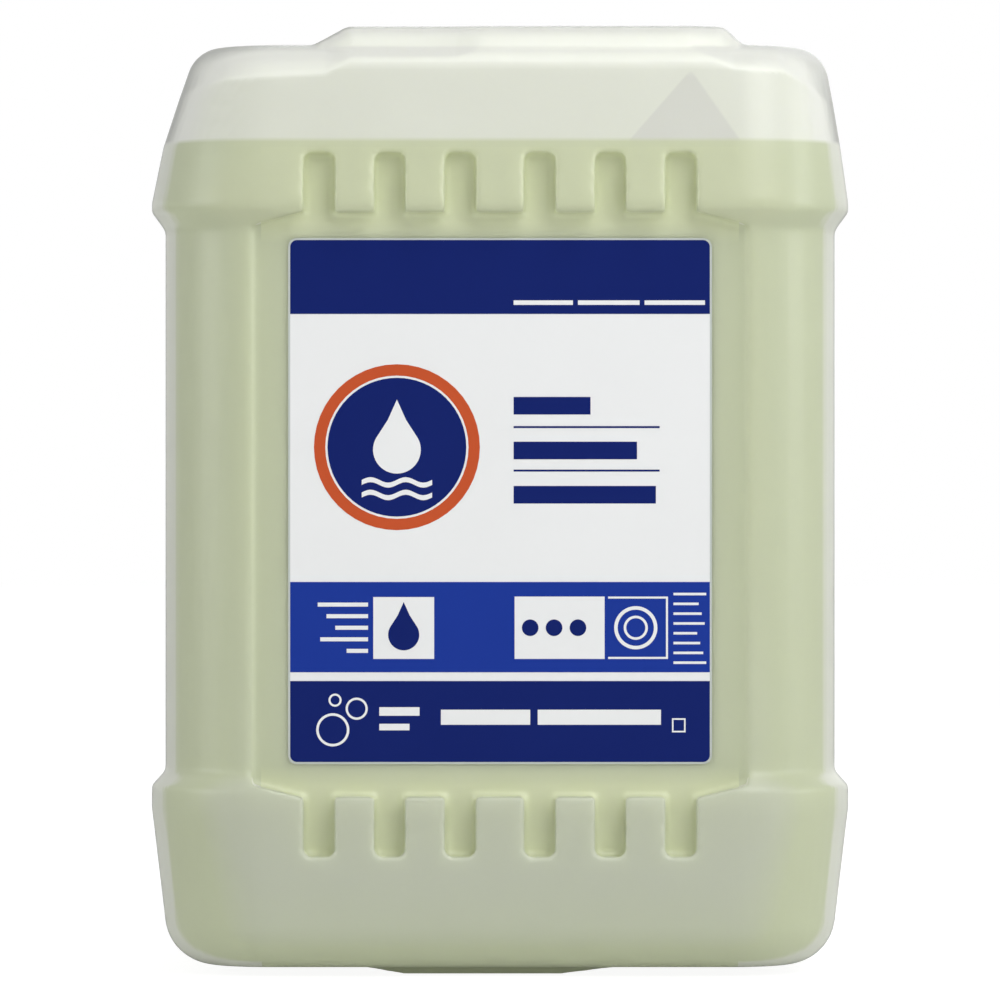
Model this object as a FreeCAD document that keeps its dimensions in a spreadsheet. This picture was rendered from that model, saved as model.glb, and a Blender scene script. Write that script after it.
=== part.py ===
import FreeCAD, Part
import os
import Sketcher

# Closed-head five gallon jug of bleach, millimetres, +Z up, front label towards -Y.
# The base pad stands on z = 0. Everything is driven from the sheet below.

doc = FreeCAD.newDocument("bleach_jug")
sheet = doc.addObject("Spreadsheet::Sheet", "sizes")

SIZES = (
    # overall, over the two proud rings
    ("total_height", 380.0), ("lip_width", 281.0), ("lip_depth", 241.0), ("lip_corner", 48.0),
    ("wall", 2.2),
    # how far each level stands inside the rings, per side
    ("foot_inset", 7.5), ("body_inset", 5.5), ("shoulder_inset", 3.9), ("deck_inset_x", 14.0),
    ("deck_inset_y", 13.0), ("shoulder_shift", 0.75), ("deck_shift", 4.0),
    # heights above the ground
    ("base_height", 3.0), ("low_ring_start", 66.0), ("low_ring_end", 75.0), ("body_start", 81.0),
    # depths below the top
    ("body_end_drop", 81.5), ("ring_low_drop", 74.0), ("ring_high_drop", 70.5),
    ("shoulder_drop", 48.0), ("mesa_rise", 7.4),
    ("base_round", 20.0), ("deck_round", 14.0), ("ring_round", 3.0),
    # raised middle of the top: how far in from the two sides, and its slopes
    ("mesa_left_in", 79.2), ("mesa_right_in", 50.7), ("mesa_ramp", 13.5), ("mesa_drop", 7.6),
    ("mesa_setback", 4.0), ("mesa_round", 6.0),
    # pad across the middle of the base
    ("pad_left", -39.0), ("pad_right", 25.0), ("pad_blend_left", 17.0), ("pad_blend_right", 24.0),
    ("pad_setback", 24.0),
    # label panel, front and back, with six notches into each ring
    ("panel_depth", 3.0), ("panel_in", 41.8), ("panel_flat_in", 60.9), ("panel_low", 72.2),
    ("panel_low_corner", 77.0), ("panel_corner_drop", 80.9), ("panel_high_drop", 75.8),
    ("notch_width", 12.3), ("notch_first", 15.8), ("notch_margin", 7.8), ("notch_low", 48.3),
    ("notch_drop", 51.9),
    ("notch_round", 3.0),
    # hand pocket and the grip bar across it
    ("pocket_left", -18.0), ("pocket_right_in", 58.5), ("pocket_slope", 25.0),
    ("pocket_floor_drop", 65.0), ("slope_low_drop", 37.0), ("slope_high_drop", 12.0),
    ("pocket_ends_in", 76.5), ("pocket_round", 7.0), ("pocket_rim", 2.5), ("grip_depth", 28.0),
    ("grip_low_drop", 30.0), ("grip_high_drop", 5.0), ("grip_round", 10.0), ("grip_root", 8.0),
    # corner cut at the rear right
    ("cut_toe_in", 39.5), ("cut_front_in", 74.5), ("cut_round", 7.0),
    # cap recess in the middle of the left side, and the neck in it
    ("recess_floor_drop", 49.0), ("recess_right_in", 86.5), ("recess_half", 41.0),
    ("recess_corner", 20.0), ("recess_round", 6.0), ("neck_side_in", 47.5),
    ("neck_radius", 25.0), ("neck_wall", 3.0), ("neck_drop", 24.0),
    # screw cap, its liner and the tamper band left on the neck
    ("cap_radius", 31.0), ("cap_wall", 2.6), ("cap_top", 2.6), ("cap_skirt", 18.8),
    ("rib_count", 40.0), ("rib_depth", 0.7), ("rib_width", 2.0), ("liner_thickness", 1.2),
    ("liner_clearance", 0.3), ("band_height", 4.2), ("band_gap", 0.8), ("band_clearance", 0.2),
    # bleach
    ("fill_drop", 47.6), ("liquid_gap", 0.3),
    # label and its printed bands
    ("label_in", 56.25), ("label_low", 85.0), ("label_drop", 85.8), ("label_corner", 3.5),
    ("label_thickness", 0.3), ("ink_thickness", 0.1), ("print_edge", 0.8),
    ("top_band_height", 30.2), ("blue_band_high", 157.4), ("blue_band_low", 121.5),
    ("base_band_high", 118.0),
)
for row, (alias, size) in enumerate(SIZES, 1):
    sheet.set(f"A{row}", alias)
    sheet.set(f"B{row}", repr(size))
    sheet.setAlias(f"B{row}", alias)
doc.recompute()

# Places that follow the overall height, width and depth
TOP, SIDE, REAR = "sizes.total_height", "sizes.lip_width / 2", "sizes.lip_depth / 2"
deck_level = f"({TOP} - sizes.mesa_rise)"
shoulder_level = f"({TOP} - sizes.shoulder_drop)"
body_end = f"({TOP} - sizes.body_end_drop)"
ring_low = f"({TOP} - sizes.ring_low_drop)"
ring_high = f"({TOP} - sizes.ring_high_drop)"
panel_high = f"({TOP} - sizes.panel_high_drop)"
panel_corner = f"({TOP} - sizes.panel_corner_drop)"
notch_high = f"({TOP} - sizes.notch_drop)"
pocket_floor = f"({TOP} - sizes.pocket_floor_drop)"
slope_low = f"({TOP} - sizes.slope_low_drop)"
slope_high = f"({TOP} - sizes.slope_high_drop)"
grip_low = f"({TOP} - sizes.grip_low_drop)"
grip_high = f"({TOP} - sizes.grip_high_drop)"
recess_floor = f"({TOP} - sizes.recess_floor_drop)"
neck_top = f"({TOP} - sizes.neck_drop)"
cap_bottom = f"({neck_top} - sizes.cap_skirt)"
fill_level = f"({TOP} - sizes.fill_drop)"
label_high = f"({TOP} - sizes.label_drop)"
panel_wide = f"({SIDE} - sizes.panel_in)"
panel_flat = f"({SIDE} - sizes.panel_flat_in)"
notch_pitch = f"(({panel_flat} - sizes.notch_margin - sizes.notch_first) / 2)"
label_wide = f"({SIDE} - sizes.label_in)"
mesa_left = f"(sizes.mesa_left_in - {SIDE})"
mesa_right = f"({SIDE} - sizes.mesa_right_in)"
pocket_right = f"({SIDE} - sizes.pocket_right_in)"
floor_right = f"({pocket_right} - sizes.pocket_slope)"
cut_toe = f"({SIDE} - sizes.cut_toe_in)"
recess_right = f"(sizes.recess_right_in - {SIDE})"
neck_x = f"(sizes.neck_side_in - {SIDE})"
pocket_end = f"({REAR} - sizes.pocket_ends_in)"
cut_front = f"({REAR} - sizes.cut_front_in)"

FLAT = FreeCAD.Rotation()
UPRIGHT = FreeCAD.Rotation(FreeCAD.Vector(1, 0, 0), 90)


def size(text):
    """Value of an expression on the sheet, in mm."""
    return float(sheet.evalExpression(text))


def bind(obj, **expressions):
    for name, text in expressions.items():
        obj.setExpression(name.replace("__", "."), text)
    return obj


def place(sketch, rotation, x="0", y="0", z="0"):
    if sketch.TypeId == "Sketcher::SketchObject":
        sketch.Placement = FreeCAD.Placement(FreeCAD.Vector(), rotation)
    for axis, text in (("x", x), ("y", y), ("z", z)):
        sketch.setExpression(f"Placement.Base.{axis}", text)
    return sketch


def polygon(sketch, points):
    """Closed outline, each corner held from the sketch origin by two named distances."""
    corners = [FreeCAD.Vector(size(a), size(b), 0) for a, b in points]
    count = len(corners)
    sketch.addGeometry([Part.LineSegment(corners[i], corners[(i + 1) % count])
                        for i in range(count)], False)
    joins = [Sketcher.Constraint("Coincident", i, 2, (i + 1) % count, 1) for i in range(count)]
    sketch.addConstraint(joins)
    for i, (a, b) in enumerate(points):
        across = sketch.addConstraint(Sketcher.Constraint("DistanceX", -1, 1, i, 1, corners[i].x))
        up = sketch.addConstraint(Sketcher.Constraint("DistanceY", -1, 1, i, 1, corners[i].y))
        sketch.renameConstraint(across, f"across_{i}")
        sketch.renameConstraint(up, f"up_{i}")
        sketch.setExpression(f"Constraints.across_{i}", a)
        sketch.setExpression(f"Constraints.up_{i}", b)
    return sketch


def rounded(sketch, width, height, radius):
    """Rectangle with round corners, centred on the sketch origin."""
    half_x, half_y, r = size(width) / 2, size(height) / 2, size(radius)
    quarter = 1.5707963267948966
    spots = ((half_x - r, r - half_y), (half_x - r, half_y - r),
             (r - half_x, half_y - r), (r - half_x, r - half_y))
    lines = (((r - half_x, -half_y), (half_x - r, -half_y)),
             ((half_x, r - half_y), (half_x, half_y - r)),
             ((half_x - r, half_y), (r - half_x, half_y)),
             ((-half_x, half_y - r), (-half_x, r - half_y)))
    shapes = []
    for i in range(4):
        (x0, y0), (x1, y1) = lines[i]
        shapes.append(Part.LineSegment(FreeCAD.Vector(x0, y0, 0), FreeCAD.Vector(x1, y1, 0)))
        ring = Part.Circle(FreeCAD.Vector(spots[i][0], spots[i][1], 0), FreeCAD.Vector(0, 0, 1), r)
        shapes.append(Part.ArcOfCircle(ring, (i - 1) * quarter, i * quarter))
    sketch.addGeometry(shapes, False)
    rules = [Sketcher.Constraint("Tangent", i, 2, (i + 1) % 8, 1) for i in range(8)]
    rules += [Sketcher.Constraint("Horizontal", 4), Sketcher.Constraint("Vertical", 6)]
    rules += [Sketcher.Constraint("Equal", i, i + 2) for i in (1, 3, 5)]
    rules += [Sketcher.Constraint("Symmetric", 0, 1, 0, 2, -2),
              Sketcher.Constraint("Symmetric", 2, 1, 2, 2, -1)]
    sketch.addConstraint(rules)
    named = (("height", Sketcher.Constraint("DistanceY", 0, 1, 4, 2, 2 * half_y), height),
             ("width", Sketcher.Constraint("DistanceX", 6, 1, 2, 2, 2 * half_x), width),
             ("radius", Sketcher.Constraint("Radius", 1, r), radius))
    for name, rule, text in named:
        sketch.renameConstraint(sketch.addConstraint(rule), name)
        sketch.setExpression(f"Constraints.{name}", text)
    return sketch


def new_sketch(name, rotation=FLAT, **where):
    return place(doc.addObject("Sketcher::SketchObject", name), rotation, **where)


def extrude(name, sketch, forward, backward="0"):
    solid = doc.addObject("Part::Extrusion", name)
    solid.Base = sketch
    solid.DirMode = "Normal"
    solid.Solid = True
    bind(solid, LengthFwd=forward, LengthRev=backward)
    return solid


def fillet(name, base, picks):
    """Fillet of a base; picks are (test on the edge's box, radius expression)."""
    doc.recompute()
    edges = []
    for test, radius in picks:
        r = size(radius)
        edges += [(i, r, r) for i, edge in enumerate(base.Shape.Edges, 1) if test(edge.BoundBox)]
    result = doc.addObject("Part::Fillet", name)
    result.Base = base
    result.Edges = edges
    doc.recompute()
    return result


def near(a, b):
    return abs(a - b) < 0.05


def level(z):
    """Edges that lie flat at one height."""
    return lambda box: near(box.ZMin, z) and near(box.ZMax, z)


def fuse(name, *shapes):
    result = doc.addObject("Part::MultiFuse", name)
    result.Shapes = list(shapes)
    return result


def cut(name, base, tool):
    result = doc.addObject("Part::Cut", name)
    result.Base, result.Tool = base, tool
    return result


def block(tag, skin):
    """Main volume, standing `skin` inside the outer faces."""
    levels = (
        ("foot", "foot_inset", "foot_inset", "0", f"sizes.base_height + {skin}"),
        ("ring_a", "none", "none", "0", "sizes.low_ring_start"),
        ("ring_b", "none", "none", "0", "sizes.low_ring_end"),
        ("body_a", "body_inset", "body_inset", "0", "sizes.body_start"),
        ("body_b", "body_inset", "body_inset", "0", body_end),
        ("ring_c", "none", "none", "0", ring_low),
        ("ring_d", "none", "none", "0", ring_high),
        ("shoulder", "shoulder_inset", "shoulder_inset", "sizes.shoulder_shift",
         shoulder_level),
        ("deck", "deck_inset_x", "deck_inset_y", "sizes.deck_shift",
         f"{deck_level} - {skin}"),
    )
    sections = []
    for name, inset_x, inset_y, shift, height in levels:
        in_x = "0" if inset_x == "none" else f"sizes.{inset_x}"
        in_y = "0" if inset_y == "none" else f"sizes.{inset_y}"
        sketch = new_sketch(f"{tag}_{name}", x=shift, z=height)
        sections.append(rounded(sketch, f"sizes.lip_width - 2 * ({in_x} + {skin})",
                                f"sizes.lip_depth - 2 * ({in_y} + {skin})",
                                f"sizes.lip_corner - {in_y} - {skin}"))
    loft = doc.addObject("Part::Loft", f"{tag}_loft")
    loft.Sections = sections
    loft.Solid = True
    loft.Ruled = True
    picks = [(level(size(levels[0][4])), f"sizes.base_round - {skin}"),
             (level(size(levels[8][4])), f"sizes.deck_round - {skin}")]
    picks += [(level(size(levels[i][4])), "sizes.ring_round") for i in range(1, 7)]
    return fillet(f"{tag}_block", loft, picks)


def mesa(tag, skin):
    """Raised middle of the top, and the pad across the base."""
    top = f"sizes.total_height - {skin}"
    low = f"{shoulder_level} + 10"
    half = f"sizes.lip_depth / 2 - sizes.deck_inset_y - sizes.mesa_setback - {skin}"
    points = ((f"{mesa_left} - sizes.mesa_ramp + {skin}", low),
              (f"{mesa_right} + sizes.mesa_drop - {skin}", low),
              (f"{mesa_right} + sizes.mesa_drop - {skin}", f"{deck_level} - {skin}"),
              (f"{mesa_right} - {skin}", top),
              (f"{mesa_left} + {skin}", top),
              (f"{mesa_left} - sizes.mesa_ramp + {skin}", f"{deck_level} - {skin}"))
    outline = polygon(new_sketch(f"{tag}_mesa_outline", UPRIGHT), points)
    prism = extrude(f"{tag}_mesa_prism", outline, half, half)
    edge_y, top_z, deck_z = size(half), size(top), size(f"{deck_level} - {skin}")

    def rim(box):
        if box.ZMin < deck_z - 0.1:
            return False
        along_x = near(abs(box.YMin), edge_y) and near(box.YMin, box.YMax)
        return along_x or (near(box.ZMin, top_z) and near(box.ZMax, top_z))

    raised = fillet(f"{tag}_mesa", prism, [(rim, f"sizes.mesa_round - {skin} / 2")])
    deep = f"sizes.lip_depth / 2 - sizes.foot_inset - sizes.pad_setback - {skin}"
    base = (("sizes.pad_left - sizes.pad_blend_left + " + skin, "sizes.base_height + " + skin),
            ("sizes.pad_left + " + skin, skin), ("sizes.pad_right - " + skin, skin),
            ("sizes.pad_right + sizes.pad_blend_right - " + skin, "sizes.base_height + " + skin),
            ("sizes.pad_right + sizes.pad_blend_right - " + skin, "sizes.base_height + 6"),
            ("sizes.pad_left - sizes.pad_blend_left + " + skin, "sizes.base_height + 6"))
    pad = extrude(f"{tag}_pad", polygon(new_sketch(f"{tag}_pad_outline", UPRIGHT), base),
                  deep, deep)
    return raised, pad


def comb(skin):
    """Outline of the label panel with its six notches above and below."""
    wide, flat = f"{panel_wide} + {skin}", f"{panel_flat} + {skin}"
    points = [(f"-({wide})", f"sizes.panel_low_corner - {skin} / 2"),
              (f"-({flat})", f"sizes.panel_low - {skin}")]
    half = f"(sizes.notch_width / 2 + {skin})"
    steps = [f"(sizes.notch_first + {step} * {notch_pitch})" for step in range(3)]
    teeth = [f"-{step}" for step in reversed(steps)] + steps
    for middle in teeth:
        points += [(f"{middle} - {half}", f"sizes.panel_low - {skin}"),
                   (f"{middle} - {half}", f"sizes.notch_low - {skin}"),
                   (f"{middle} + {half}", f"sizes.notch_low - {skin}"),
                   (f"{middle} + {half}", f"sizes.panel_low - {skin}")]
    points += [(flat, f"sizes.panel_low - {skin}"),
               (wide, f"sizes.panel_low_corner - {skin} / 2"),
               (wide, f"{panel_corner} + {skin} / 2"),
               (flat, f"{panel_high} + {skin}")]
    for middle in reversed(teeth):
        points += [(f"{middle} + {half}", f"{panel_high} + {skin}"),
                   (f"{middle} + {half}", f"{notch_high} + {skin}"),
                   (f"{middle} - {half}", f"{notch_high} + {skin}"),
                   (f"{middle} - {half}", f"{panel_high} + {skin}")]
    points += [(f"-({flat})", f"{panel_high} + {skin}"),
               (f"-({wide})", f"{panel_corner} + {skin} / 2")]
    return points


def recesses(tag, skin):
    """Everything cut from the outside, grown by `skin` for the faces inside the wall."""
    tools = []
    plane = f"sizes.lip_depth / 2 - sizes.body_inset - sizes.panel_depth - {skin}"
    low, high = size(f"sizes.notch_low - {skin}"), size(f"{notch_high} + {skin}")

    def notch_end(box):
        return box.YLength > 1 and (level(low)(box) or level(high)(box)) and box.XLength < 0.1

    outline = polygon(new_sketch(f"{tag}_comb", UPRIGHT, y=f"-({plane})"), comb(skin))
    front = fillet(f"{tag}_front_panel", extrude(f"{tag}_panel_prism", outline, "40"),
                   [(notch_end, f"sizes.notch_round + {skin}")])
    back = doc.addObject("Part::Mirroring", f"{tag}_back_panel")
    back.Source = front
    back.Normal = FreeCAD.Vector(0, 1, 0)
    tools += [front, back]
    above = "sizes.total_height + 40"
    hand = ((f"sizes.pocket_left - {skin}", above),
            (f"sizes.pocket_left - {skin}", f"{pocket_floor} - {skin}"),
            (f"{floor_right} + {skin}", f"{pocket_floor} - {skin}"),
            (f"{floor_right} + {skin}", f"{slope_low} - 0.414 * {skin}"),
            (f"{pocket_right} + {skin}", f"{slope_high} - 0.414 * {skin}"),
            (f"{pocket_right} + {skin}", above))
    half = f"{pocket_end} + {skin}"
    prism = extrude(f"{tag}_pocket_prism",
                    polygon(new_sketch(f"{tag}_pocket_outline", UPRIGHT), hand), half, half)
    top = size(above)
    tools.append(fillet(f"{tag}_pocket", prism,
                        [(lambda box: not level(top)(box), f"sizes.pocket_round + {skin}")]))
    lean = ((f"{pocket_right} - {skin}", above),
            (f"{pocket_right} - {skin}", f"{slope_high} - 0.414 * {skin}"),
            (f"{cut_toe} - {skin}", f"{slope_low} - {skin}"),
            ("sizes.lip_width / 2 + 30", f"{slope_low} - {skin}"),
            ("sizes.lip_width / 2 + 30", above))
    outline = polygon(new_sketch(f"{tag}_cut_outline", UPRIGHT,
                                 y=f"{cut_front} - {skin}"), lean)
    prism = extrude(f"{tag}_cut_prism", outline, "0", "sizes.lip_depth")
    right = size("sizes.lip_width / 2 + 30")
    rear = size(f"{cut_front} - {skin} + sizes.lip_depth")
    tools.append(fillet(f"{tag}_cut", prism,
                        [(lambda box: not level(top)(box) and box.XMax < right - 1
                          and box.YMin < rear - 1 or (box.XLength > 40 and box.YMax < rear - 1
                                                      and not level(top)(box)),
                          f"sizes.cut_round + {skin}")]))
    reach = "sizes.lip_width / 2"
    outline = rounded(new_sketch(f"{tag}_recess_outline", x=f"{recess_right} + {skin} - {reach} / 2",
                                 z=f"{recess_floor} - {skin}"),
                      reach, f"2 * (sizes.recess_half + {skin})", f"sizes.recess_corner + {skin}")
    prism = extrude(f"{tag}_recess_prism", outline, "120")
    floor = size(f"{recess_floor} - {skin}")
    tools.append(fillet(f"{tag}_recess", prism, [(level(floor), f"sizes.recess_round + {skin}")]))
    return fuse(f"{tag}_recesses", *tools)


def grip(tag, skin, root):
    """Bar across the hand pocket."""
    bar = doc.addObject("Part::Box", f"{tag}_grip_bar")
    bind(bar, Length=f"{pocket_right} - sizes.pocket_left + 2 * ({root})",
         Width=f"sizes.grip_depth - 2 * {skin}",
         Height=f"{grip_high} - {grip_low} - 2 * {skin}")
    place(bar, FLAT, x=f"sizes.pocket_left - ({root})",
          y=f"-sizes.grip_depth / 2 + {skin}", z=f"{grip_low} + {skin}")
    span = size(f"{pocket_right} - sizes.pocket_left + 2 * ({root})")
    return fillet(f"{tag}_grip", bar, [(lambda box: near(box.XLength, span),
                                        f"sizes.grip_round - {skin}")])


def cylinder(name, radius, low, high):
    rod = doc.addObject("Part::Cylinder", name)
    bind(rod, Radius=radius, Height=f"({high}) - ({low})")
    return place(rod, FLAT, x=neck_x, z=low)


def pocket_rim(name, form):
    """Softens the mouth of the hand pocket."""
    doc.recompute()
    top, half = size(TOP), size(pocket_end) + 0.05
    left, right = size("sizes.pocket_left") - 0.05, size(pocket_right) + 0.05
    flat = level(top)
    return fillet(name, form, [(lambda box: flat(box) and left < box.XMin and box.XMax < right
                                and -half < box.YMin and box.YMax < half, "sizes.pocket_rim")])


def envelope(tag, skin, root, neck, neck_low, neck_high):
    solid = fuse(f"{tag}_raised", block(tag, skin), *mesa(tag, skin))
    hollowed = cut(f"{tag}_recessed", solid, recesses(tag, skin))
    rod = cylinder(f"{tag}_neck", neck, neck_low, neck_high)
    return fuse(f"{tag}_form", hollowed, grip(tag, skin, root), rod)


# Jug in one piece, with its grip and neck
outer = envelope("outer", "0", "sizes.grip_root", "sizes.neck_radius",
                 f"{recess_floor} - 1", neck_top)
inner = envelope("inner", "sizes.wall", "sizes.grip_root + 3 * sizes.wall",
                 "sizes.neck_radius - sizes.neck_wall",
                 f"{recess_floor} - sizes.wall - 1", f"{neck_top} + 1")
bottle = cut("bottle", pocket_rim("outer_rim", outer), inner)

# Bleach up to the fill line
wet = "(sizes.wall + sizes.liquid_gap)"
filling = envelope("liquid", wet, "sizes.grip_root + 3 * sizes.wall",
                   "sizes.neck_radius - sizes.neck_wall - sizes.liquid_gap",
                   f"{recess_floor} - {wet} - 1", neck_top)
brim = doc.addObject("Part::Box", "brim")
bind(brim, Length="sizes.lip_width + 40", Width="sizes.lip_depth + 40",
     Height=fill_level)
place(brim, FLAT, x="-sizes.lip_width / 2 - 20", y="-sizes.lip_depth / 2 - 20")
bleach = doc.addObject("Part::MultiCommon", "bleach")
bleach.Shapes = [filling, brim]

# Label and its three printed bands
panel_face = "-(sizes.lip_depth / 2 - sizes.body_inset - sizes.panel_depth)"
label_sketch = rounded(new_sketch("label_outline", UPRIGHT, y=panel_face,
                                  z=f"(sizes.label_low + {label_high}) / 2"),
                       f"2 * {label_wide}", f"{label_high} - sizes.label_low",
                       "sizes.label_corner")
label = extrude("label", label_sketch, "sizes.label_thickness")


def band(name, low, high):
    """Printed band on the label, square at both ends."""
    edge = f"{label_wide} - sizes.print_edge"
    points = ((f"-({edge})", low), (edge, low), (edge, high), (f"-({edge})", high))
    outline = polygon(new_sketch(f"{name}_outline", UPRIGHT,
                                 y=f"{panel_face} - sizes.label_thickness"), points)
    return extrude(name, outline, "sizes.ink_thickness")


bands = [band("print_top_band", f"{label_high} - sizes.top_band_height", f"{label_high} - sizes.print_edge"),
         band("print_blue_band", "sizes.blue_band_low", "sizes.blue_band_high"),
         band("print_base_band", "sizes.label_low + sizes.print_edge", "sizes.base_band_high")]

# Tamper band, left on the neck below the cap
band_top = f"{cap_bottom} - sizes.band_gap"
ring = cylinder("band_disc", "sizes.cap_radius", f"{band_top} - sizes.band_height", band_top)
hole = cylinder("band_hole", "sizes.neck_radius + sizes.band_clearance",
                f"{band_top} - sizes.band_height - 1", f"{band_top} + 1")
tamper = cut("tamper_band", ring, hole)

# Liner disc between the neck rim and the cap
liner = cylinder("cap_liner", "sizes.cap_radius - sizes.cap_wall - sizes.liner_clearance",
                 neck_top, f"{neck_top} + sizes.liner_thickness")


def plane_of(body, role):
    return next(part for part in body.Origin.OriginFeatures if part.Role == role)


def body_sketch(body, name, role):
    sketch = body.newObject("Sketcher::SketchObject", name)
    sketch.AttachmentSupport = (plane_of(body, role), [""])
    sketch.MapMode = "FlatFace"
    return sketch


# Ribbed screw cap
cap = doc.addObject("PartDesign::Body", "screw_cap")
inside = f"{neck_top} + sizes.liner_thickness"
height = f"({inside} + sizes.cap_top - {cap_bottom})"
profile = body_sketch(cap, "cap_profile", "XZ_Plane")
polygon(profile, (("0", f"{height} - sizes.cap_top"), ("0", height),
                  ("sizes.cap_radius - sizes.rib_depth - 2", height),
                  ("sizes.cap_radius - sizes.rib_depth", f"{height} - 2"),
                  ("sizes.cap_radius - sizes.rib_depth", "0"),
                  ("sizes.cap_radius - sizes.cap_wall", "0"),
                  ("sizes.cap_radius - sizes.cap_wall", f"{height} - sizes.cap_top")))
doc.recompute()
turned = cap.newObject("PartDesign::Revolution", "cap_turned")
turned.Profile = profile
turned.ReferenceAxis = (profile, ["V_Axis"])
turned.Angle = 360
doc.recompute()
rib_outline = body_sketch(cap, "rib_outline", "XY_Plane")
polygon(rib_outline, (("sizes.cap_radius - sizes.rib_depth - 0.6", "-sizes.rib_width / 2"),
                      ("sizes.cap_radius - 0.2", "-sizes.rib_width / 2"),
                      ("sizes.cap_radius", "-sizes.rib_width / 4"),
                      ("sizes.cap_radius", "sizes.rib_width / 4"),
                      ("sizes.cap_radius - 0.2", "sizes.rib_width / 2"),
                      ("sizes.cap_radius - sizes.rib_depth - 0.6", "sizes.rib_width / 2")))
doc.recompute()
rib = cap.newObject("PartDesign::Pad", "rib")
rib.Profile = rib_outline
rib.setExpression("Length", f"{height} - 4")
doc.recompute()
ribs = cap.newObject("PartDesign::PolarPattern", "ribs")
ribs.Originals = [rib]
ribs.Axis = (plane_of(cap, "Z_Axis"), [""])
ribs.Angle = 360
ribs.setExpression("Occurrences", "sizes.rib_count")
cap.Tip = ribs
place(cap, FLAT, x=neck_x, z=cap_bottom)

doc.recompute()
for thing in doc.Objects:
    if {"Invalid", "Error"} & set(thing.State):
        raise RuntimeError(f"{thing.Name}: {thing.State}")

PARTS = [bottle, bleach, label, *bands, tamper, liner, cap]
os.makedirs("parts", exist_ok=True)
for thing in PARTS:
    if thing.Shape.isNull() or not thing.Shape.isValid():
        raise RuntimeError(f"{thing.Name} is not a valid solid")
    thing.Label = thing.Name
    thing.Shape.exportStep(f"parts/{thing.Name}.step")
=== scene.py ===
import logging
import math
from dataclasses import dataclass, field
from enum import Enum

import bmesh
import bpy
from mathutils import Matrix, Vector


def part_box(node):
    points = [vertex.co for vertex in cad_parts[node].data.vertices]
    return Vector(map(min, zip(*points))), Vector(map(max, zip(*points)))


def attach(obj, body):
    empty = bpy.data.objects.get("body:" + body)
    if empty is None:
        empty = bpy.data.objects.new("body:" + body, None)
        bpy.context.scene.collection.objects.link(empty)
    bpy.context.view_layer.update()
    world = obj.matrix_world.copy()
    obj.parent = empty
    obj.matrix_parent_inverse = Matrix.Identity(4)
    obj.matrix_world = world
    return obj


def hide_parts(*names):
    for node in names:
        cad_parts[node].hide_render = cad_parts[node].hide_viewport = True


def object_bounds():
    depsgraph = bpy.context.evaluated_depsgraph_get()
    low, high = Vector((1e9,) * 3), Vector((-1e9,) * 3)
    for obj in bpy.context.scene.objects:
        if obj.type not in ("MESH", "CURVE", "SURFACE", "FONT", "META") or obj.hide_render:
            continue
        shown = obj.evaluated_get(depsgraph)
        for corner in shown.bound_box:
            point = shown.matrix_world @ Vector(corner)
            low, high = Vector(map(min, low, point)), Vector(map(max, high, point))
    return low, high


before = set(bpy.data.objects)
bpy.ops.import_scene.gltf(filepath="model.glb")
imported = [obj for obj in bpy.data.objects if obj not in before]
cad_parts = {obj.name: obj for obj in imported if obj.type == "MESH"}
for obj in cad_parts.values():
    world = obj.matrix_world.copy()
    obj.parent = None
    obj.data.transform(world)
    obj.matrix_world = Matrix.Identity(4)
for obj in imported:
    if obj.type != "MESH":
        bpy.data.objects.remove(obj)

CAD_BOX = [list(corner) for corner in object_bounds()]
MM = 0.001
log = logging.getLogger("bleach_jug")

Colour = tuple[float, float, float]
Limits = tuple[float, float]
Outline = list[tuple[float, float]]


class Slot(Enum):
    """Material slots of the record."""

    JUG = "jug_plastic"
    PAPER = "label_paper"
    NAVY = "print_navy"
    ORANGE = "print_orange"


class Body(Enum):
    """Bodies of the frame that new pieces ride on."""

    JUG = "jug"


def feed(node: bpy.types.Node, name: str | int, term: object) -> None:
    """Gives one of a node's inputs a plain value, or links a socket to it.

    Args:
        node: The shader node.
        name: Name or number of the input.
        term: Number, colour or vector that the input takes, or the socket to link.
    """
    if isinstance(term, bpy.types.NodeSocket):
        node.id_data.links.new(term, node.inputs[name])
    else:
        node.inputs[name].default_value = term


def calc(tree: bpy.types.NodeTree, operation: str, *terms: object) -> bpy.types.NodeSocket:
    """Adds a maths node.

    Args:
        tree: The tree that gets the node.
        operation: The operation's name.
        terms: Its terms in order, each a number or a socket.

    Returns:
        The socket of the result.
    """
    node = tree.nodes.new("ShaderNodeMath")
    node.operation = operation
    for spot, term in enumerate(terms):
        feed(node, spot, term)
    return node.outputs["Value"]


def ramp(tree: bpy.types.NodeTree, value: bpy.types.NodeSocket, start: object, end: object,
         first: float = 0.0, last: float = 1.0, smooth: bool = False) -> bpy.types.NodeSocket:
    """Adds a node that maps a value from one range to another and holds it at both ends.

    Args:
        tree: The tree that gets the node.
        value: The value to map.
        start: Where the ramp starts, a number or a socket.
        end: Where it ends, a number or a socket.
        first: What it gives at its start.
        last: What it gives at its end.
        smooth: Whether it eases in and out.

    Returns:
        The socket of the result.
    """
    node = tree.nodes.new("ShaderNodeMapRange")
    if smooth:
        node.interpolation_type = "SMOOTHSTEP"
    for name, term in (("Value", value), ("From Min", start), ("From Max", end),
                       ("To Min", first), ("To Max", last)):
        feed(node, name, term)
    return node.outputs["Result"]


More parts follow.
